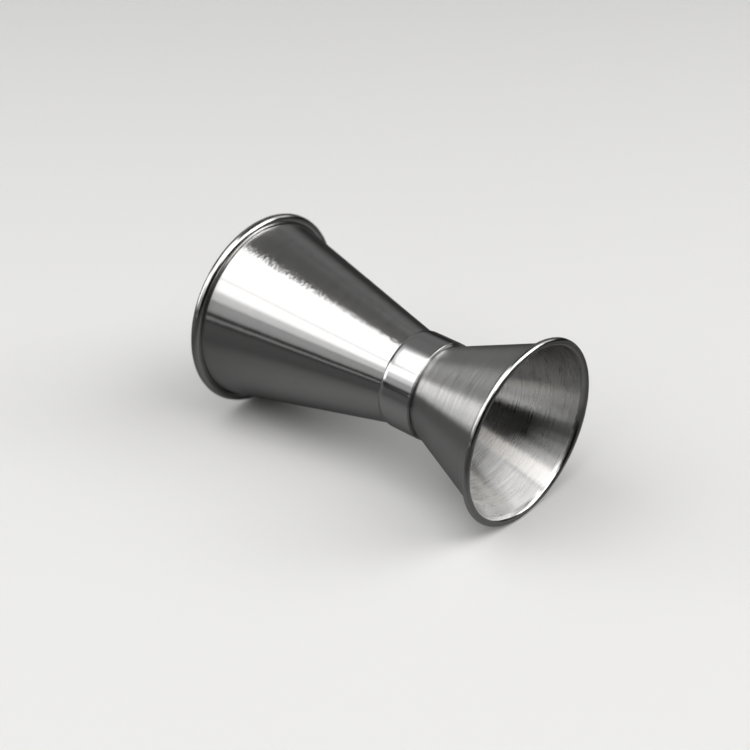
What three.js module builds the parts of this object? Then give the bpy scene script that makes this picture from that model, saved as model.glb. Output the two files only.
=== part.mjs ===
// Two-ended bar jigger: two conical measuring cups of sheet steel, back to back, with a polished
// collar around the waist. The cups' flat bases are held together by three weld nuggets, and the
// collar is trapped between the two tapers. Nothing moves.
//
// Millimetres, +Z up. The jigger stands on the rim of its larger cup, and the origin is the centre
// of that rim's resting face. Every turned piece is a lathe outline of (radius, height) points,
// drawn with the metal on the left-hand side of the direction of travel.

import * as THREE from "three";

// ---- Driving dimensions (millimetres, and degrees where the name says so) ----

const TOTAL_HEIGHT = 75; // rim to rim
const SHEET = 0.6; // thickness of the cups' metal
const LARGE_BASE_HEIGHT = 47.4; // outer face of the large cup's base, above the ground
const WELD_GAP = 0.3; // distance between the two bases, bridged by the nuggets

const LARGE_CUP = { mouthDiameter: 43.8, halfAngleDeg: 13.0, beadRadius: 1.1, baseCorner: 1.2 };
const SMALL_CUP = { mouthDiameter: 40.8, halfAngleDeg: 22.7, beadRadius: 0.82, baseCorner: 1.2 };

const CURL_GAP = 0.12; // opening between the end of a rolled rim and the wall
const RIM_FLAT_HALF_ANGLE_DEG = 15; // part of a bead's circle that is dressed flat to rest on

const COLLAR_DIAMETER = 21.74;
const COLLAR_BOTTOM = 43.9; // end that hugs the large cup
const COLLAR_TOP = 51.9; // cut end, towards the small cup
const COLLAR_LIP = 0.12; // blunt width of the end that hugs the large cup
const COLLAR_SHOULDER = 2.5; // radius of the turned-in shoulder
const COLLAR_EDGE = 0.12; // rounding of the cut end's corners
const COLLAR_PLAY = 0.05; // clearance to both tapers

const NUGGET_COUNT = 3;
const NUGGET_DIAMETER = 3;
const NUGGET_RING_RADIUS = 4.5; // from the jigger's axis to each nugget's centre

const FACETS_AROUND = 60; // facets of each turned surface
const NUGGET_FACETS = 24;
const CORNER_STEPS = 4; // facets of a base corner
const SHOULDER_STEPS = 5; // facets of the collar's turned-in shoulder
const EDGE_STEPS = 2; // facets of the collar's rounded corners
const CURL_STEP_DEG = 24; // largest turn of one facet of a rolled rim

const SMALL_BASE_HEIGHT = LARGE_BASE_HEIGHT + WELD_GAP;

// ---- Outlines ----

/** Points of an arc about (radius, height), both ends included. Angles run from the outward axis. */
function arc(centreRadius, centreHeight, arcRadius, fromDeg, toDeg, steps) {
  const points = [];
  for (let i = 0; i <= steps; i++) {
    const angle = THREE.MathUtils.degToRad(THREE.MathUtils.lerp(fromDeg, toDeg, i / steps));
    points.push(
      new THREE.Vector2(
        centreRadius + arcRadius * Math.cos(angle),
        centreHeight + arcRadius * Math.sin(angle),
      ),
    );
  }
  return points;
}

/** An arc of a rolled rim, through each angle listed, in facets of at most CURL_STEP_DEG. */
function curlArc(bead, arcRadius, ...anglesDeg) {
  const points = [];
  for (let i = 1; i < anglesDeg.length; i++) {
    const [fromDeg, toDeg] = [anglesDeg[i - 1], anglesDeg[i]];
    const steps = Math.ceil(Math.abs(toDeg - fromDeg) / CURL_STEP_DEG);
    const piece = arc(bead.radius, bead.height, arcRadius, fromDeg, toDeg, steps);
    points.push(...piece.slice(points.length ? 1 : 0));
  }
  return points;
}

/**
 * The bead and the outer wall of a cup that stands on its base at height 0, its mouth at depth.
 * The wall's inner face runs straight into the bead's circle.
 */
function shapeCup(cup, depth) {
  const slope = THREE.MathUtils.degToRad(cup.halfAngleDeg);
  const flat = THREE.MathUtils.degToRad(RIM_FLAT_HALF_ANGLE_DEG);
  const bead = {
    radius: cup.mouthDiameter / 2 - cup.beadRadius,
    height: depth - cup.beadRadius * Math.cos(flat),
    innerSideDeg: 180 - cup.halfAngleDeg,
  };
  const wallTop = {
    radius: bead.radius - cup.beadRadius * Math.cos(slope),
    height: bead.height + cup.beadRadius * Math.sin(slope),
  };
  // Radius of the wall's outer face, carried on down to the plane of the base.
  const footRadius = wallTop.radius + SHEET / Math.cos(slope) - wallTop.height * Math.tan(slope);
  return {
    bead,
    footRadius,
    outerRadiusAt: (height) => footRadius + height * Math.tan(slope),
  };
}

/**
 * The closed outline of a cup, from the axis under its base to the axis on its inner floor.
 * At the mouth the sheet curls over the top, down the outside and back under, and stops just
 * short of the wall, so the rolled rim is hollow and open along its underside.
 */
function cupOutline(cup, depth) {
  const { bead, footRadius } = shapeCup(cup, depth);
  const slope = THREE.MathUtils.degToRad(cup.halfAngleDeg);
  const corner = cup.baseCorner;
  const cornerCentre = footRadius + corner * (Math.tan(slope) - 1 / Math.cos(slope));
  const hollowRadius = cup.beadRadius - SHEET;
  const openTurn = Math.acos((hollowRadius - CURL_GAP) / cup.beadRadius);
  const curlEndDeg = bead.innerSideDeg + THREE.MathUtils.radToDeg(openTurn) - 360;
  return [
    new THREE.Vector2(0, 0),
    ...arc(cornerCentre, corner, corner, -90, -cup.halfAngleDeg, CORNER_STEPS),
    ...curlArc(bead, hollowRadius, bead.innerSideDeg, curlEndDeg),
    ...curlArc(bead, cup.beadRadius, curlEndDeg, 0, 90 - RIM_FLAT_HALF_ANGLE_DEG),
    ...curlArc(bead, cup.beadRadius, 90 + RIM_FLAT_HALF_ANGLE_DEG, bead.innerSideDeg),
    ...arc(cornerCentre, corner, corner - SHEET, -cup.halfAngleDeg, -90, CORNER_STEPS),
    new THREE.Vector2(0, SHEET),
  ];
}

/** The closed outline of the collar, in heights above the ground. */
function collarOutline() {
  const largeSlope = Math.tan(THREE.MathUtils.degToRad(LARGE_CUP.halfAngleDeg));
  const largeCup = shapeCup(LARGE_CUP, LARGE_BASE_HEIGHT);
  const smallCup = shapeCup(SMALL_CUP, TOTAL_HEIGHT - SMALL_BASE_HEIGHT);
  const outerRadius = COLLAR_DIAMETER / 2;
  const bore = smallCup.outerRadiusAt(COLLAR_TOP - SMALL_BASE_HEIGHT) + COLLAR_PLAY;
  const lipBore = largeCup.outerRadiusAt(LARGE_BASE_HEIGHT - COLLAR_BOTTOM) + COLLAR_PLAY;
  const taperTop = COLLAR_BOTTOM + (lipBore - bore) / largeSlope;
  const shoulderDrop = outerRadius - lipBore - COLLAR_LIP;
  const shoulderTurn = Math.acos(1 - shoulderDrop / COLLAR_SHOULDER);
  const shoulderTop = COLLAR_BOTTOM + COLLAR_SHOULDER * Math.sin(shoulderTurn);
  const edge = COLLAR_EDGE;
  const outline = [
    new THREE.Vector2(lipBore, COLLAR_BOTTOM),
    ...arc(
      outerRadius - COLLAR_SHOULDER, shoulderTop, COLLAR_SHOULDER,
      -THREE.MathUtils.radToDeg(shoulderTurn), 0, SHOULDER_STEPS,
    ),
    ...arc(outerRadius - edge, COLLAR_TOP - edge, edge, 0, 90, EDGE_STEPS),
    ...arc(bore + edge, COLLAR_TOP - edge, edge, 90, 180, EDGE_STEPS),
    new THREE.Vector2(bore, taperTop),
  ];
  return [...outline, outline[0].clone()];
}

// ---- Pieces ----

function steel(color, roughness) {
  return new THREE.MeshStandardMaterial({ color, roughness, metalness: 1 });
}

/** A mesh turned about +Z from an outline. */
function turned(name, outline, material) {
  const geometry = new THREE.LatheGeometry(outline, FACETS_AROUND).rotateX(Math.PI / 2);
  const mesh = new THREE.Mesh(geometry, material);
  mesh.name = name;
  return mesh;
}

/** One weld nugget: a short disc that just fills the gap between the two bases. */
function weldNugget(index) {
  const disc = new THREE.CylinderGeometry(
    NUGGET_DIAMETER / 2, NUGGET_DIAMETER / 2, WELD_GAP, NUGGET_FACETS,
  ).rotateX(Math.PI / 2);
  const mesh = new THREE.Mesh(disc, steel(0x8d8a86, 0.6));
  const bearing = (2 * Math.PI * index) / NUGGET_COUNT;
  mesh.name = `weld_nugget_${index + 1}`;
  mesh.position.set(
    NUGGET_RING_RADIUS * Math.cos(bearing),
    NUGGET_RING_RADIUS * Math.sin(bearing),
    LARGE_BASE_HEIGHT + WELD_GAP / 2,
  );
  return mesh;
}

const largeCup = turned(
  "large_cup", cupOutline(LARGE_CUP, LARGE_BASE_HEIGHT), steel(0xc4c3c4, 0.32),
);
largeCup.rotation.x = Math.PI; // mouth down
largeCup.position.z = LARGE_BASE_HEIGHT;

const smallCup = turned(
  "small_cup", cupOutline(SMALL_CUP, TOTAL_HEIGHT - SMALL_BASE_HEIGHT), steel(0xbdbbb9, 0.36),
);
smallCup.position.z = SMALL_BASE_HEIGHT;

const jigger = new THREE.Group();
jigger.name = "bar_jigger";
jigger.add(largeCup, smallCup, turned("waist_collar", collarOutline(), steel(0xd6d6d8, 0.12)));
for (let index = 0; index < NUGGET_COUNT; index++) {
  jigger.add(weldNugget(index));
}

export default jigger;
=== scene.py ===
"""A two-ended bar jigger in brushed and polished steel.

The jigger's own frame is upright: it stands on the rim of its larger cup. The main camera shows it the
way it rolls to rest on a table, lying on the sides of its two rims, so the studio (floor and lights)
is laid against those rims for that camera. When any other camera is used, the studio goes back to
being level and the jigger stands on it.
"""

import math

import bpy
import numpy as np
from mathutils import Matrix, Vector, noise


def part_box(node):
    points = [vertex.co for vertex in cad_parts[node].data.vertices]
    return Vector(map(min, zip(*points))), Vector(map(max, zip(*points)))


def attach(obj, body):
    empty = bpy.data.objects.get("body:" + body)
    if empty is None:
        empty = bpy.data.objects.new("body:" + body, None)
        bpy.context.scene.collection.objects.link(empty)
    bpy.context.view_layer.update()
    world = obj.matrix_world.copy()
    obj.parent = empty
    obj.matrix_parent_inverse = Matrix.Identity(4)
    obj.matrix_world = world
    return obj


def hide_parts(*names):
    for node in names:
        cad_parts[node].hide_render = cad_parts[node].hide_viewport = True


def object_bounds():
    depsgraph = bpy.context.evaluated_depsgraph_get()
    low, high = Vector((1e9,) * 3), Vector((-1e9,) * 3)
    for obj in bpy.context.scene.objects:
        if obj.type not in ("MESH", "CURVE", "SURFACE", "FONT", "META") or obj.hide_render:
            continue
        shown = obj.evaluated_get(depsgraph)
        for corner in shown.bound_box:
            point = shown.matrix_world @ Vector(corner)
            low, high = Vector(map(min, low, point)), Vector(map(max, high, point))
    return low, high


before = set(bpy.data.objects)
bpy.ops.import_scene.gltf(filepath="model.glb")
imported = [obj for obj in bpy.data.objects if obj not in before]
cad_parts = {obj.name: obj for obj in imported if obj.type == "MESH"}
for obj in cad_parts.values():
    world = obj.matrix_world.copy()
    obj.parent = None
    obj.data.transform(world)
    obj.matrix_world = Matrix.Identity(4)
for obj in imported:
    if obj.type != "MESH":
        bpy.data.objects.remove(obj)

CAD_LOW, CAD_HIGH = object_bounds()
MM = 0.001

# ---- Sizes, in millimetres and degrees: the ones that the frame's boxes don't hold ----

SHEET = 0.6  # thickness of the cups' metal
CURL_GAP = 0.12  # opening between the end of a rolled rim and the wall
CORNER_RADIUS = 1.2  # outside of the corner between a cup's base and its wall
RIM_FLAT_HALF_ANGLE = 15  # part of a rolled rim's circle that's dressed flat to rest on
LARGE_TAPER, LARGE_BEAD = 13.0, 1.1  # half angle of the wall, and radius of the rolled rim
SMALL_TAPER, SMALL_BEAD = 22.7, 0.82
COLLAR_SHOULDER = 2.5  # radius of the end that's turned in towards the large cup
COLLAR_LIP = 0.12  # blunt width of that end
COLLAR_EDGE = 0.12  # rounding of the cut end's corners
COLLAR_PLAY = 0.05  # clearance to both tapers
WELD_RING, WELD_RADIUS, WELD_COUNT = 4.5, 1.5, 3  # the welds between the cups' bases

AROUND = 288  # quads around every turned piece
WALL_STEP = 0.45  # longest quad along a straight stretch of an outline
ARC_STEP = 9  # degrees of one quad along an arc
SHARP_ANGLE = 40  # edges that turn by more than this are shaded as sharp
TINY = 1e-6  # anything below it counts as zero

# ---- How the real metal strays from its outline, in millimetres; rates are per radian ----

BEAD_WAVE, BEAD_WAVE_RATE = 0.02, 9.0  # unevenness of the rolled rims
BEAD_RIPPLE, BEAD_RIPPLE_RATE = 0.006, 26.0
WALL_WAVE, WALL_WAVE_RATE, WALL_WAVE_LENGTH = 0.012, 2.2, 9.0  # unevenness of the cups' walls
BEAD_REACH, BEAD_FADE = 1.5, 0.45  # where a rolled rim's finish has ended, and its fade, in rim radii
WELD_DIMPLE, DIMPLE_STEEPNESS = 0.07, 1.4  # how deep the welds show on the cups' floors
LARGE_SEED, SMALL_SEED = 1.7, 8.2  # where in the noise each cup's unevenness starts
RIPPLE_SHIFT, WALL_SHIFT = 5.0, 3  # keep the ripple and the wall's wave apart from the rims' wave

# ---- Brushing. Patterns are cycles per radian around the axis, cycles per millimetre along the
# outline, and octaves of finer detail ----

FINE_BRUSH, BROAD_BRUSH, GRAIN = (2.5, 3.2, 1.5), (1.5, 1.4, 2.0), (20.0, 9.5, 0.0)
FINE_SHARE = 0.7  # of the fine lines in the pattern, where the broad ones are the rest
BRUSH_CONTRAST = 0.65  # of the brush lines' tint
MEAN_TINT = 0.96  # how bright the tint is on average
MEAN_NOISE = 0.5  # of every pattern, which goes from 0 to 1
LINE_RANGE = (0.3, 0.7)  # the values that most of the pattern lies between
ROUGHNESS_SWING = (0.92, 1.08)  # what the roughness is multiplied by at those two values
CALM_SMOOTHING = 0.7  # roughness of the calmest brushing, as a share of the usual one
POLISHED_ROUGHNESS = 0.16  # of the rolled rims
LARGE_CALM, SMALL_CALM, COLLAR_CALM = 0.8, 0.4, 0.85  # how calm the brushing is outside, 0 to 1
WEAR_EDGE = (0.7, 0.95)  # cosines of the angles from the most worn side where wear ends and is full
UNWORN_LEAN = 0.15  # how much of the brush lines' lean is left on the other sides

# ---- The main camera, relative to the middle of the lying jigger ----

CAMERA_BACK, CAMERA_UP, CAMERA_RIGHT = 331.5, 202.1, -2.8
CAMERA_PITCH = 31.62  # looking down
CAMERA_LENS, CAMERA_SENSOR = 88.36, 36
CAMERA_FSTOP = 18
CAMERA_RANGE = (0.01, 20)  # metres
HEADING = 131.1  # of the jigger's axis, clockwise from straight away from the camera
DOWN_BEARING = 39.4  # which side of the jigger the floor touches

# ---- The studio, in metres except where the name says millimetres ----

SWITCH = 1000  # per metre of the camera's move, so another camera counts once it's a millimetre away
BLUR_SWITCH = 1000000  # f-stops per metre of the camera's move, so other cameras have no blur
FLOOR_RADIUS_MM, FLOOR_CURVE_MM, FLOOR_TOP_MM = 1200, 700, 1600
FLOOR_SECTIONS = 96
PAPER_COLOUR = (0.76, 0.76, 0.75, 1)
GLOW_REACH, GLOW = (0.54, 1.0), 0.67  # how far from the jigger the paper's glow starts and is full
TABLE_SHADE, TABLE_LIFT = 0.1, 0.28  # of the mirrored table, and what other cameras add to it
PAINTED_POOL_REACH = (0.03, 0.08)  # how far from the jigger the painted pool of light on the mirrored table starts and stops fading
PAINTED_POOL_FALL = (1.7, 0.45)  # what the table's shade is multiplied by within and beyond that reach: painted light near the jigger, darker further out
TABLE_ROUGHNESS, TABLE_SHINE = 0.6, 0.15
ROOM_COLOUR = (0.02, 0.019, 0.018, 1)
PANEL_DISTANCE = 0.75  # from the middle of the jigger to each light
PANEL_FADE = 6.0  # degrees over which most lights fade at their long edges
WARM_LIGHT, WHITE_LIGHT = (1.0, 0.96, 0.92), (1, 1, 1)


def measure_frame():
    """The sizes that come from the frame's boxes, in millimetres."""
    low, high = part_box("large_cup")
    large = {"mouth": high.x / MM, "depth": (high.z - low.z) / MM, "base": high.z / MM}
    low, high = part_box("small_cup")
    small = {"mouth": high.x / MM, "depth": (high.z - low.z) / MM, "base": low.z / MM}
    low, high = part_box("waist_collar")
    collar = {"radius": high.x / MM, "bottom": low.z / MM, "top": high.z / MM}
    large.update(taper=LARGE_TAPER, bead=LARGE_BEAD)
    small.update(taper=SMALL_TAPER, bead=SMALL_BEAD)
    return large, small, collar


LARGE, SMALL, COLLAR = measure_frame()

# ---- Outlines: lists of (radius, height) points with the metal on the left of the travel ----


def arc(centre, radius, start, end):
    """Points of an arc, both ends included. Angles in degrees from the outward direction."""
    steps = max(2, math.ceil(abs(end - start) / ARC_STEP))
    angles = [math.radians(start + (end - start) * i / steps) for i in range(steps + 1)]
    return [(centre[0] + radius * math.cos(a), centre[1] + radius * math.sin(a)) for a in angles]


def with_steps(points):
    """The same outline, with long straight stretches cut into short steps."""
    dense = [points[0]]
    for here, there in zip(points, points[1:]):
        count = max(1, math.ceil(math.dist(here, there) / WALL_STEP))
        for i in range(1, count + 1):
            share = i / count
            dense.append(tuple(a + (b - a) * share for a, b in zip(here, there)))
    return dense


def cup_shape(cup):
    """A cup's bead centre and the foot of its outer wall, for a cup that stands on its base at 0."""
    slope = math.radians(cup["taper"])
    flat = math.radians(RIM_FLAT_HALF_ANGLE)
    bead = (cup["mouth"] - cup["bead"], cup["depth"] - cup["bead"] * math.cos(flat))
    wall_radius = bead[0] - cup["bead"] * math.cos(slope)
    wall_height = bead[1] + cup["bead"] * math.sin(slope)
    foot = wall_radius + SHEET / math.cos(slope) - wall_height * math.tan(slope)
    return {"bead": bead, "foot": foot, "slope": slope}


def outer_radius(cup, height):
    """The radius of a cup's outer wall at a height above its base."""
    shape = cup_shape(cup)
    return shape["foot"] + height * math.tan(shape["slope"])


def cup_outline(cup):
    """From the axis under the base, up the outside, round the rolled rim and down the inside."""
    shape = cup_shape(cup)
    bead, slope, taper = shape["bead"], shape["slope"], cup["taper"]
    corner = (shape["foot"] + CORNER_RADIUS * (math.tan(slope) - 1 / math.cos(slope)), CORNER_RADIUS)
    hollow = cup["bead"] - SHEET
    open_turn = math.degrees(math.acos((hollow - CURL_GAP) / cup["bead"]))
    inner_side = 180 - taper
    curl_end = inner_side + open_turn - 360
    return with_steps(
        [(0, 0)]
        + arc(corner, CORNER_RADIUS, -90, -taper)
        + arc(bead, hollow, inner_side, curl_end)
        + arc(bead, cup["bead"], curl_end, 90 - RIM_FLAT_HALF_ANGLE)
        + arc(bead, cup["bead"], 90 + RIM_FLAT_HALF_ANGLE, inner_side)
        + arc(corner, CORNER_RADIUS - SHEET, -taper, -90)
        + [(0, SHEET)]
    )


def collar_outline():
    """A closed outline, from the lip at the large cup, up the outside and back down the bore."""
    bottom, top, edge = COLLAR["bottom"], COLLAR["top"], COLLAR_EDGE
    bore = outer_radius(SMALL, top - SMALL["base"]) + COLLAR_PLAY
    lip_bore = outer_radius(LARGE, LARGE["base"] - bottom) + COLLAR_PLAY
    taper_top = bottom + (lip_bore - bore) / math.tan(math.radians(LARGE_TAPER))
    drop = COLLAR["radius"] - lip_bore - COLLAR_LIP
    turn = math.acos(1 - drop / COLLAR_SHOULDER)
    shoulder = (COLLAR["radius"] - COLLAR_SHOULDER, bottom + COLLAR_SHOULDER * math.sin(turn))
    return with_steps(
        [(lip_bore, bottom)]
        + arc(shoulder, COLLAR_SHOULDER, -math.degrees(turn), 0)
        + arc((COLLAR["radius"] - edge, top - edge), edge, 0, 90)
        + arc((bore + edge, top - edge), edge, 90, 180)
        + [(bore, taper_top), (lip_bore, bottom)]
    )


# ---- Turned meshes ----


def numbered(points):
    """Numbers for the points of every section, with one number for all that meet on the axis. Returns
    which points are kept, and the numbers as one row for each section."""
    count = len(points)
    index = np.arange(AROUND * count).reshape(AROUND, count)
    on_axis = points[:, 0] < TINY
    index[:, on_axis] = index[0, on_axis]
    kept, index = np.unique(index, return_inverse=True)
    return kept, index.reshape(AROUND, count).tolist()


def faces_between(index, closed):
    """Quads between neighbouring sections. One that meets the axis drops its repeated corner."""
    count = len(index[0])
    faces = []
    for here, there in zip(index, index[1:] + index[:1]):
        for i in range(count if closed else count - 1):
            j = (i + 1) % count
            corners = [here[i], there[i], there[j], here[j]]
            faces.append([c for n, c in enumerate(corners) if c != corners[n - 1]])
    return faces


def turned(name, outline, closed=False, upside_down_from=None, shape=None, marks=None):
    """A mesh turned about +Z. shape(points, angle) may move one section's points before they're
    placed, and each of the marks, which the material reads, holds one number for each point."""
    points = np.array(outline[:-1] if closed else outline, float)
    angles = np.linspace(0, 2 * math.pi, AROUND, endpoint=False)
    rings = np.repeat(points[None], AROUND, axis=0)
    if shape:
        rings = np.array([shape(ring, angle) for ring, angle in zip(rings, angles)])
    if upside_down_from is not None:
        rings[:, :, 1] = upside_down_from - rings[:, :, 1]
    radius, height = rings[:, :, 0], rings[:, :, 1]
    turn = angles[:, None]
    places = np.stack([radius * np.cos(turn), radius * np.sin(turn), height], axis=-1)

    kept, index = numbered(points)
    mesh = bpy.data.meshes.new(name)
    mesh.from_pydata((places.reshape(-1, 3)[kept] * MM).tolist(), [], faces_between(index, closed))
    if upside_down_from is not None:
        mesh.flip_normals()
    mesh.shade_smooth()
    mesh.set_sharp_from_angle(angle=math.radians(SHARP_ANGLE))
    along = np.concatenate([[0], np.cumsum(np.hypot(*np.diff(points, axis=0).T))])
    for label, values in {"along": along, **(marks or {})}.items():
        attribute = mesh.attributes.new(label, "FLOAT", "POINT")
        attribute.data.foreach_set("value", np.tile(values, AROUND)[kept].astype(np.float32))
    piece = bpy.data.objects.new(name, mesh)
    bpy.context.scene.collection.objects.link(piece)
    return piece


def smooth_noise(angle, rate, along, seed):
    """Gradient noise that closes on itself around the axis, about -1 to 1."""
    return noise.noise(Vector((rate * math.cos(angle) + seed, rate * math.sin(angle), along)))


def smooth_step(values):
    """Values limited to 0 to 1, with soft ends."""
    t = np.clip(values, 0, 1)
    return t * t * (3 - 2 * t)


def bead_share(cup, points):
    """1 on a cup's rolled rim, falling to 0 on the wall beside it."""
    centre, radius = cup_shape(cup)["bead"], cup["bead"]
    distance = np.hypot(points[:, 0] - centre[0], points[:, 1] - centre[1])
    return smooth_step((radius * BEAD_REACH - distance) / (radius * BEAD_FADE))


def surface_marks(cup, outline, calm_outside):
    """Where a cup is polished (its rolled rim), and where its brushing is calm (its outside)."""
    points = np.array(outline)
    outside = np.arange(len(points)) <= np.argmax(points[:, 0])
    return {"polish": bead_share(cup, points), "calm": outside * calm_outside}


def weld_dimples(points, angle):
    """How far the welds sink a cup's inner floor."""
    on_floor = np.abs(points[:, 1] - SHEET) < TINY
    sunk = np.zeros(len(points))
    for number in range(WELD_COUNT):
        bearing = angle - 2 * math.pi * number / WELD_COUNT
        aside = points[:, 0] * math.sin(bearing)
        inward = WELD_RING - points[:, 0] * math.cos(bearing)
        sunk += smooth_step(DIMPLE_STEEPNESS * (1 - np.hypot(aside, inward) / WELD_RADIUS))
    return sunk * on_floor * WELD_DIMPLE


def hand_rolled(cup, seed):
    """How a cup's real metal strays from its outline: an uneven rim and a slightly wavy wall."""
    centre = cup_shape(cup)["bead"]

    def shape(points, angle):
        bead = bead_share(cup, points)
        swell = BEAD_WAVE * smooth_noise(angle, BEAD_WAVE_RATE, 0.0, seed)
        swell += BEAD_RIPPLE * smooth_noise(angle, BEAD_RIPPLE_RATE, RIPPLE_SHIFT, seed)
        outward = points - np.array(centre)
        outward /= np.maximum(np.hypot(*outward.T), TINY)[:, None]
        points = points + outward * (swell * bead)[:, None]
        off_axis = smooth_step(points[:, 0] / cup["mouth"] * 2)
        heights = points[:, 1] / WALL_WAVE_LENGTH
        wave = np.array([smooth_noise(angle, WALL_WAVE_RATE, h, seed + WALL_SHIFT) for h in heights])
        points[:, 0] += WALL_WAVE * wave * off_axis * (1 - bead)
        points[:, 1] -= weld_dimples(points, angle)
        return points

    return shape


# ---- Material nodes ----


def node(tree, kind, inputs=None, **settings):
    """Adds a node. An input's value is either a number or colour, or another node's output."""
    made = tree.nodes.new(kind)
    for key, value in settings.items():
        setattr(made, key, value)
    for key, value in (inputs or {}).items():
        if isinstance(value, bpy.types.NodeSocket):
            tree.links.new(value, made.inputs[key])
        else:
            made.inputs[key].default_value = value
    return made


def maths(tree, operation, first, second):
    return node(tree, "ShaderNodeMath", {0: first, 1: second}, operation=operation).outputs[0]


def vector_maths(tree, operation, first, second=None):
    """Gives a vector, or a number for DOT_PRODUCT and LENGTH. The second input of SCALE is a number."""
    inputs = {0: first}
    if second is not None:
        inputs["Scale" if operation == "SCALE" else 1] = second
    made = node(tree, "ShaderNodeVectorMath", inputs, operation=operation)
    return made.outputs["Value" if operation in ("DOT_PRODUCT", "LENGTH") else "Vector"]


def map_range(tree, value, low, high, new_low, new_high):
    inputs = {"Value": value, "From Min": low, "From Max": high, "To Min": new_low, "To Max": new_high}
    return node(tree, "ShaderNodeMapRange", inputs).outputs["Result"]


def position(tree):
    """Where a point is in its own object's frame, in metres."""
    return node(tree, "ShaderNodeTexCoord").outputs["Object"]


def mark(tree, label):
    """What the mesh's mark of that name holds, or 0 on a mesh that doesn't have it."""
    return node(tree, "ShaderNodeAttribute", attribute_name=label).outputs["Fac"]


def outwards(tree):
    """The unit direction straight away from the jigger's axis."""
    return vector_maths(tree, "NORMALIZE", vector_maths(tree, "MULTIPLY", position(tree), (1, 1, 0)))


def around_axis(tree):
    """The unit direction around the jigger's axis."""
    side = vector_maths(tree, "CROSS_PRODUCT", (0, 0, 1), position(tree))
    return vector_maths(tree, "NORMALIZE", side)


def brushed_noise(tree, pattern):
    """Noise that's stretched around the axis."""
    around, across, detail = pattern
    ring = vector_maths(tree, "SCALE", outwards(tree), around)
    along = maths(tree, "MULTIPLY", mark(tree, "along"), across)
    lift = node(tree, "ShaderNodeCombineXYZ", {"Z": along}).outputs[0]
    place = vector_maths(tree, "ADD", ring, lift)
    inputs = {"Vector": place, "Scale": 1.0, "Detail": detail}
    return node(tree, "ShaderNodeTexNoise", inputs).outputs["Fac"]


def brush_lines(tree):
    """The pattern of brush lines, fine ones over broad ones, about 0 to 1."""
    fine = maths(tree, "MULTIPLY", brushed_noise(tree, FINE_BRUSH), FINE_SHARE)
    broad = maths(tree, "MULTIPLY", brushed_noise(tree, BROAD_BRUSH), 1 - FINE_SHARE)
    return maths(tree, "ADD", fine, broad)


def brushed_tint(tree, colour, lines):
    """The steel's colour, lighter and darker from line to line, and less so where it's calm."""
    contrast = map_range(tree, mark(tree, "calm"), 0.0, 1.0, BRUSH_CONTRAST, 0.0)
    swing = maths(tree, "MULTIPLY", maths(tree, "SUBTRACT", lines, MEAN_NOISE), contrast)
    return vector_maths(tree, "SCALE", colour, maths(tree, "ADD", swing, MEAN_TINT))


def brushed_roughness(tree, roughness, lines):
    """The steel's roughness, which the lines vary, calm places lower and polished ones replace."""
    varied = maths(tree, "MULTIPLY", roughness, map_range(tree, lines, *LINE_RANGE, *ROUGHNESS_SWING))
    smoothing = map_range(tree, mark(tree, "calm"), 0.0, 1.0, 1.0, CALM_SMOOTHING)
    varied = maths(tree, "MULTIPLY", varied, smoothing)
    return map_range(tree, mark(tree, "polish"), 0.0, 1.0, varied, POLISHED_ROUGHNESS)


def brushed_normal(tree, lines, brushed, brush_depth, comb):
    """A normal that follows the lines' depth, and leans a little around the axis to one side or the
    other, by `comb`, which frays the edges of reflections. It leans the most on the worn side, which
    is the top one when the jigger lies on the table."""
    depth = maths(tree, "MULTIPLY", brushed, brush_depth * MM)
    bump = node(tree, "ShaderNodeBump", {"Strength": 1.0, "Distance": depth, "Height": lines})
    worn = math.radians(DOWN_BEARING + 180)
    worn_side = (math.cos(worn), math.sin(worn), 0)
    facing = vector_maths(tree, "DOT_PRODUCT", outwards(tree), worn_side)
    grain = brushed_noise(tree, GRAIN)
    lean = maths(tree, "MULTIPLY", maths(tree, "SUBTRACT", grain, MEAN_NOISE), brushed)
    lean = maths(tree, "MULTIPLY", lean, map_range(tree, facing, *WEAR_EDGE, UNWORN_LEAN, 1.0))
    sideways = vector_maths(tree, "SCALE", around_axis(tree), maths(tree, "MULTIPLY", lean, comb))
    return vector_maths(tree, "NORMALIZE", vector_maths(tree, "ADD", bump.outputs[0], sideways))


# ---- Materials ----


def steel(name, colour, roughness, anisotropy, brush_depth, comb):
    """Steel brushed around the axis, with the reflections spread along the outline. Where the mesh is
    marked as polished, the brushing fades out. The brush depth is in millimetres."""
    material = bpy.data.materials.new(name)
    material.use_nodes = True
    tree = material.node_tree
    tree.nodes.clear()
    brushed = maths(tree, "SUBTRACT", 1.0, mark(tree, "polish"))
    lines = brush_lines(tree)
    surface = node(
        tree,
        "ShaderNodeBsdfPrincipled",
        {
            "Base Color": brushed_tint(tree, colour, lines),
            "Metallic": 1.0,
            "Roughness": brushed_roughness(tree, roughness, lines),
            "Anisotropic": maths(tree, "MULTIPLY", brushed, anisotropy),
            "Anisotropic Rotation": 0.25,  # a quarter turn, from around the axis to along the outline
            "Normal": brushed_normal(tree, lines, brushed, brush_depth, comb),
            "Tangent": node(tree, "ShaderNodeTangent", direction_type="RADIAL", axis="Z").outputs[0],
        },
    )
    node(tree, "ShaderNodeOutputMaterial", {"Surface": surface.outputs[0]})
    return material


def brushed_cup_steel():
    return steel(
        "brushed_steel",
        colour=(0.64, 0.635, 0.63),
        roughness=0.28,
        anisotropy=0.97,
        brush_depth=0.006,
        comb=0.22,
    )


def polished_collar_steel():
    return steel(
        "polished_steel",
        colour=(0.68, 0.68, 0.68),
        roughness=0.18,
        anisotropy=0.2,
        brush_depth=0.0006,
        comb=0.006,
    )


def weld_metal():
    return steel(
        "weld_metal",
        colour=(0.5, 0.49, 0.47),
        roughness=0.55,
        anisotropy=0.1,
        brush_depth=0.01,
        comb=0.2,
    )


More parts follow.
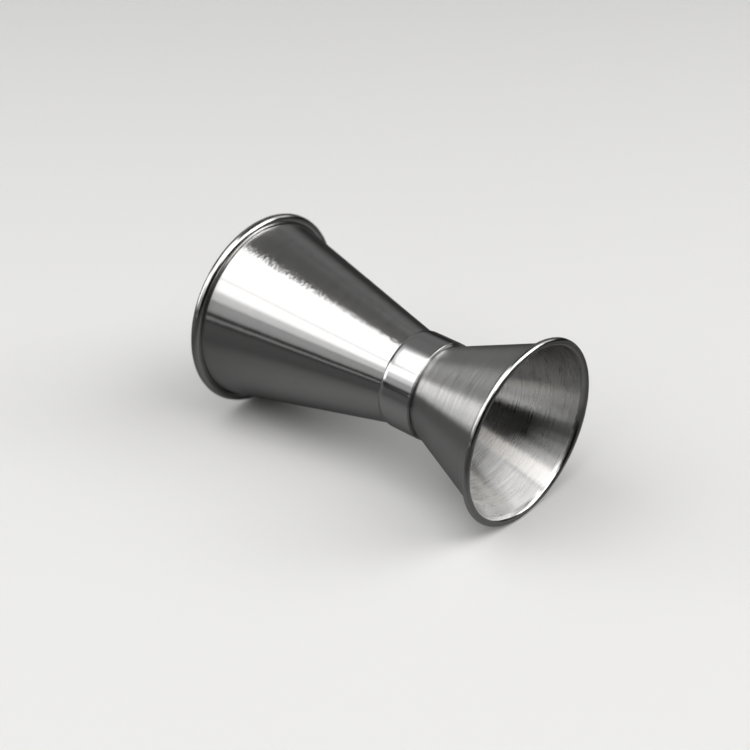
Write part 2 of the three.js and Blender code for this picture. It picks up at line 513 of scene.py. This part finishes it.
def floor_material():
    """Pale to the camera, and lit up towards the backdrop. The metal mirrors a darker table instead,
    which keeps the contrast that polished steel has in a dark room; that table has a painted pool of
    light around the jigger. Returns the material and the value that sets how dark that table is."""
    material = bpy.data.materials.new("studio_paper")
    material.use_nodes = True
    tree = material.node_tree
    tree.nodes.clear()
    seen = node(tree, "ShaderNodeLightPath").outputs["Is Camera Ray"]
    away = vector_maths(tree, "LENGTH", position(tree))
    strength = map_range(tree, away, *GLOW_REACH, 0.0, GLOW)
    glow = node(tree, "ShaderNodeEmission", {"Strength": strength})
    paper = node(tree, "ShaderNodeBsdfDiffuse", {"Color": PAPER_COLOUR})
    pale = node(tree, "ShaderNodeAddShader", {0: paper.outputs[0], 1: glow.outputs[0]})
    shade = node(tree, "ShaderNodeValue").outputs[0]
    # The table's colour carries a painted pool of light around the jigger, and is darker further out.
    dark = maths(tree, "MULTIPLY", shade, map_range(tree, away, *PAINTED_POOL_REACH, *PAINTED_POOL_FALL))
    table = node(
        tree,
        "ShaderNodeBsdfPrincipled",
        {"Base Color": dark, "Roughness": TABLE_ROUGHNESS, "Specular IOR Level": TABLE_SHINE},
    )
    mix = node(
        tree, "ShaderNodeMixShader", {"Fac": seen, 1: table.outputs[0], 2: pale.outputs[0]}
    )
    node(tree, "ShaderNodeOutputMaterial", {"Surface": mix.outputs[0]})
    return material, shade


# ---- Pieces ----


def stand_in(piece, cad_node, material):
    """Puts a piece in the place of a CAD node."""
    piece.data.materials.append(material)
    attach(piece, "root")
    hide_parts(cad_node)


def make_large_cup(material):
    outline = cup_outline(LARGE)
    piece = turned(
        "large_cup_brushed",
        outline,
        upside_down_from=LARGE["base"],
        shape=hand_rolled(LARGE, LARGE_SEED),
        marks=surface_marks(LARGE, outline, LARGE_CALM),
    )
    stand_in(piece, "large_cup", material)


def make_small_cup(material):
    outline = cup_outline(SMALL)
    piece = turned(
        "small_cup_brushed",
        outline,
        shape=hand_rolled(SMALL, SMALL_SEED),
        marks=surface_marks(SMALL, outline, SMALL_CALM),
    )
    piece.location.z = SMALL["base"] * MM
    stand_in(piece, "small_cup", material)


def make_collar(material):
    outline = collar_outline()
    marks = {"calm": np.full(len(outline) - 1, COLLAR_CALM)}
    piece = turned("collar_polished", outline, closed=True, marks=marks)
    stand_in(piece, "waist_collar", material)


def finish_welds(material):
    """The weld nuggets keep their CAD shapes, and get a better material."""
    for number in range(1, WELD_COUNT + 1):
        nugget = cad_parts[f"weld_nugget_{number}"]
        nugget.data.materials.clear()
        nugget.data.materials.append(material)


def make_pieces():
    cup_steel = brushed_cup_steel()
    make_large_cup(cup_steel)
    make_small_cup(cup_steel)
    make_collar(polished_collar_steel())
    finish_welds(weld_metal())


# ---- Studio ----


def lying_matrix():
    """The floor that touches the sides of both rims, as a frame with its origin under the middle of
    the jigger, z up from the floor and y straight away from the camera. Also how high the middle of
    the jigger is above that floor, in metres."""
    rims = []
    for cup, facing in ((LARGE, -1), (SMALL, 1)):
        bead = cup_shape(cup)["bead"]
        rims.append((bead[0], cup["bead"], cup["base"] + facing * bead[1]))
    (ring_a, bead_a, height_a), (ring_b, bead_b, height_b) = rims
    tilt = math.asin((ring_a + bead_a - ring_b - bead_b) / (height_b - height_a))
    bearing = math.radians(DOWN_BEARING)
    level = math.cos(tilt)
    down = Vector((level * math.cos(bearing), level * math.sin(bearing), math.sin(tilt)))
    reach = ring_a * level + bead_a + height_a * math.sin(tilt)
    up = -down
    axis = Vector((0, 0, 1))
    level_axis = (axis - axis.dot(up) * up).normalized()
    away = Matrix.Rotation(math.radians(HEADING), 3, up) @ level_axis
    right = away.cross(up)
    middle = Vector((0, 0, (CAD_LOW.z + CAD_HIGH.z) / 2 / MM))
    origin = middle + (reach - middle.dot(down)) * down
    matrix = Matrix((right, away, up)).transposed().to_4x4()
    matrix.translation = origin * MM
    return matrix, (middle - origin).length * MM


def marker(name, matrix):
    """An empty object that only marks a place."""
    empty = bpy.data.objects.new(name, None)
    bpy.context.scene.collection.objects.link(empty)
    empty.matrix_world = matrix
    return empty


def drive_by_move(curve, camera, home, expression):
    """Drives a value from `moved`, the distance in metres between the camera and its main place."""
    driver = curve.driver
    driver.type = "SCRIPTED"
    moved = driver.variables.new()
    moved.name = "moved"
    moved.type = "LOC_DIFF"
    moved.targets[0].id = camera
    moved.targets[1].id = home
    driver.expression = expression


def make_camera(lying, middle_height):
    """The main camera, and a marker that stays in its place when another view moves the camera."""
    data = bpy.data.cameras.new("main_camera")
    data.lens, data.sensor_width = CAMERA_LENS, CAMERA_SENSOR
    data.clip_start, data.clip_end = CAMERA_RANGE
    camera = bpy.data.objects.new("main_camera", data)
    bpy.context.scene.collection.objects.link(camera)
    place = Vector((CAMERA_RIGHT * MM, -CAMERA_BACK * MM, CAMERA_UP * MM + middle_height))
    turn = Matrix.Rotation(math.radians(90 - CAMERA_PITCH), 4, "X")
    camera.matrix_world = lying @ Matrix.Translation(place) @ turn
    bpy.context.scene.camera = camera
    return camera, marker("camera_home", camera.matrix_world.copy())


def make_turning_studio(camera, home, lying):
    """The parent of the floor and lights, which lies with the jigger for the main camera only."""
    studio = marker("studio", Matrix.Identity(4))
    follow = studio.constraints.new("COPY_TRANSFORMS")
    follow.target = marker("floor_when_lying", lying)
    curve = follow.driver_add("influence")
    drive_by_move(curve, camera, home, f"1 - min(1, moved * {SWITCH})")
    return studio


def add_slight_blur(camera, home):
    """Focuses the main camera on the collar's near side, and gives it the photograph's slight blur."""
    field = camera.data.dof
    field.use_dof = True
    near_side = Matrix.Translation((0, -COLLAR["radius"] * MM, COLLAR["top"] * MM))
    field.focus_object = marker("focus", near_side)
    curve = field.driver_add("aperture_fstop")
    drive_by_move(curve, camera, home, f"{CAMERA_FSTOP} + moved * {BLUR_SWITCH}")


def floor_mesh():
    """A wide bowl: a level disc whose edge curves up into a backdrop on all sides. The first ring is
    doubled, so that the disc is shaded as level right up to the curve."""
    outline = [(FLOOR_RADIUS_MM, 0)]
    outline += arc((FLOOR_RADIUS_MM, FLOOR_CURVE_MM), FLOOR_CURVE_MM, -90, 0)
    outline += [(FLOOR_RADIUS_MM + FLOOR_CURVE_MM, FLOOR_TOP_MM)]
    rows = len(outline)
    places, faces = [(0, 0, 0)], []
    for n in range(FLOOR_SECTIONS):
        a = 2 * math.pi * n / FLOOR_SECTIONS
        places += [(r * MM * math.cos(a), r * MM * math.sin(a), h * MM) for r, h in outline]
        here, there = 1 + n * rows, 1 + (n + 1) % FLOOR_SECTIONS * rows
        faces.append((0, here, there))
        for i in range(rows - 1):
            faces.append((here + i, here + i + 1, there + i + 1, there + i))
    mesh = bpy.data.meshes.new("floor")
    mesh.from_pydata(places, [], faces)
    mesh.shade_smooth()
    return mesh


def make_floor(studio, camera, home):
    """The floor, whose mirrored table is lighter for every camera but the main one."""
    floor = bpy.data.objects.new("floor", floor_mesh())
    bpy.context.scene.collection.objects.link(floor)
    paper, shade = floor_material()
    floor.data.materials.append(paper)
    curve = shade.driver_add("default_value")
    drive_by_move(curve, camera, home, f"{TABLE_SHADE} + {TABLE_LIFT} * min(1, moved * {SWITCH})")
    floor.parent = studio


def panel_glow(data, spread, fade):
    """Makes a panel fade over `fade` degrees at both of its long edges, out of its whole spread."""
    data.use_nodes = True
    tree = data.node_tree
    tree.nodes.clear()
    place = node(tree, "ShaderNodeNewGeometry").outputs["Parametric"]
    across = node(tree, "ShaderNodeSeparateXYZ", {0: place}).outputs["Y"]
    edge = maths(tree, "MINIMUM", across, maths(tree, "SUBTRACT", 1.0, across))
    strength = maths(tree, "MINIMUM", maths(tree, "MULTIPLY", edge, spread / fade), 1.0)
    glow = node(tree, "ShaderNodeEmission", {"Strength": strength})
    node(tree, "ShaderNodeOutputLight", {"Surface": glow.outputs[0]})


def soft_panel(studio, name, turns, leans, radiance, fade=PANEL_FADE, colour=WHITE_LIGHT):
    """A rectangular light that faces the middle of the jigger and fills a range of the directions
    around it. Turns are angles about the lying jigger's axis, 0 level on the camera's side and 90
    straight up, and leans are angles from the small cup's end of the axis, all in degrees. Radiance
    is how bright the panel looks."""
    heading = math.radians(HEADING)
    axis = Vector((math.sin(heading), math.cos(heading), 0))
    side = Vector((math.cos(heading), -math.sin(heading), 0))
    turn, lean = math.radians(sum(turns) / 2), math.radians(sum(leans) / 2)
    out = side * math.cos(turn) + Vector((0, 0, 1)) * math.sin(turn)
    towards = out * math.sin(lean) + axis * math.cos(lean)
    lengthways = axis * math.sin(lean) - out * math.cos(lean)
    matrix = Matrix((lengthways, out.cross(axis), towards)).transposed().to_4x4()
    middle = Vector((0, 0, (CAD_HIGH.x - CAD_LOW.x) / 2))
    matrix.translation = middle + towards * PANEL_DISTANCE
    spread = turns[1] - turns[0] + fade
    data = bpy.data.lights.new(name, "AREA")
    data.shape = "RECTANGLE"
    data.color = colour
    data.size = 2 * PANEL_DISTANCE * math.tan(math.radians(leans[1] - leans[0]) / 2)
    data.size_y = 2 * PANEL_DISTANCE * math.sin(lean) * math.tan(math.radians(spread) / 2)
    data.energy = radiance * math.pi * data.size * data.size_y
    panel_glow(data, spread, fade)
    light = bpy.data.objects.new(name, data)
    bpy.context.scene.collection.objects.link(light)
    light.parent = studio
    light.matrix_local = matrix
    light.visible_camera = False


def make_lights(studio):
    """Panels around the lying jigger, grouped by what mirrors them for the main camera."""
    # The long highlight on the large cup and the collar, with dimmer bands and a thin line below it.
    soft_panel(studio, "key", (49, 92), (66, 122), 2.3, fade=10)
    soft_panel(studio, "key_lower", (33, 47), (72, 128), 1.8, fade=4)
    soft_panel(studio, "key_apron", (23, 32), (72, 128), 0.9, fade=2)
    soft_panel(studio, "lip", (9, 22), (72, 130), 0.4, fade=2)
    soft_panel(studio, "sill", (1, 4), (72, 120), 0.4, fade=1)
    # The bright wedge inside the small cup, and by a second bounce the dim band across from it.
    soft_panel(studio, "key_end", (68, 96), (42, 66), 2.7, fade=4, colour=WARM_LIGHT)
    # The outside of the small cup.
    soft_panel(studio, "side_end", (46, 92), (122, 142), 0.9, fade=30)
    soft_panel(studio, "low_side", (9, 50), (130, 156), 2.3, fade=12)
    # The rest of the bright part of the small cup's inside.
    soft_panel(studio, "window", (95, 131), (38, 74), 2.4)
    soft_panel(studio, "window_far", (131, 150), (38, 68), 4.6)
    # A faint sheen on the far sides.
    soft_panel(studio, "far_wall", (127, 162), (68, 92), 0.85)
    soft_panel(studio, "far_low", (143, 175), (92, 116), 0.1)
    soft_panel(studio, "far_end", (90, 170), (116, 160), 0.17, fade=20)


def make_room():
    """A nearly dark room around the lights, and colours that aren't altered by a film look."""
    world = bpy.data.worlds.new("room")
    bpy.context.scene.world = world
    world.use_nodes = True
    world.node_tree.nodes["Background"].inputs["Color"].default_value = ROOM_COLOUR
    bpy.context.scene.view_settings.view_transform = "Standard"


def make_studio():
    lying, middle_height = lying_matrix()
    camera, home = make_camera(lying, middle_height)
    studio = make_turning_studio(camera, home, lying)
    add_slight_blur(camera, home)
    make_floor(studio, camera, home)
    make_lights(studio)
    make_room()


make_pieces()
make_studio()
